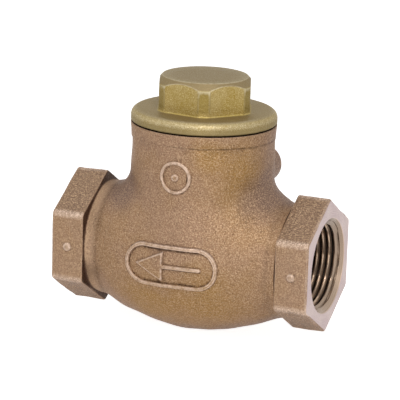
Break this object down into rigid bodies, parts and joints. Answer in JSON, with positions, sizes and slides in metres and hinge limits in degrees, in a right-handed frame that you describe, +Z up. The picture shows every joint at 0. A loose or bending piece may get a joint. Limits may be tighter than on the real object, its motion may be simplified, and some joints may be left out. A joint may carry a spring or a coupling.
{
  "type": "swing check valve",
  "caption": "Cast bronze swing check valve with hexagonal threaded ends, a round neck, a screwed brass cap and a hinged disc inside.",
  "frame": {"origin": "centre of the inlet mouth, where the pipe axis leaves the inlet hexagon's end face", "axes": "+X along the pipe axis and out of the inlet mouth, so the flow runs along -X; +Z up the neck towards the cap; -Y towards the side that carries the flow arrow; the hinge pin's boss is on the +Y side"},
  "size_m": [0.08, 0.0485, 0.0756],
  "materials": {
    "cast_bronze": "sand-cast bronze, satin",
    "cap_brass": "cast and turned brass, satin",
    "gasket": "matt fibre",
    "pin_steel": "drawn stainless steel",
    "plug_brass": "turned brass",
    "arm_bronze": "cast bronze",
    "disc_bronze": "turned bronze",
    "washer_brass": "stamped brass",
    "nut_brass": "turned brass",
    "split_pin_brass": "drawn brass wire"
  },
  "bodies": {
    "valve": {"body": "cast_bronze", "cap": "cap_brass", "cap_gasket": "gasket", "hinge_pin": "pin_steel", "pin_plug": "plug_brass"},
    "arm": {"hinge_arm": "arm_bronze"},
    "flap": {"disc": "disc_bronze", "disc_washer": "washer_brass", "disc_nut": "nut_brass", "split_pin": "split_pin_brass"}
  },
  "joints": [
    {"name": "disc_swing", "type": "hinge", "parent": "valve", "child": "arm", "pos_m": [-0.03, 0, 0.0221], "axis": [0, 1, 0], "range_deg": [0, 58]},
    {"name": "disc_spin", "type": "hinge", "parent": "arm", "child": "flap", "pos_m": [-0.032, 0, 0], "axis": [1, 0, 0], "continuous": true}
  ]
}
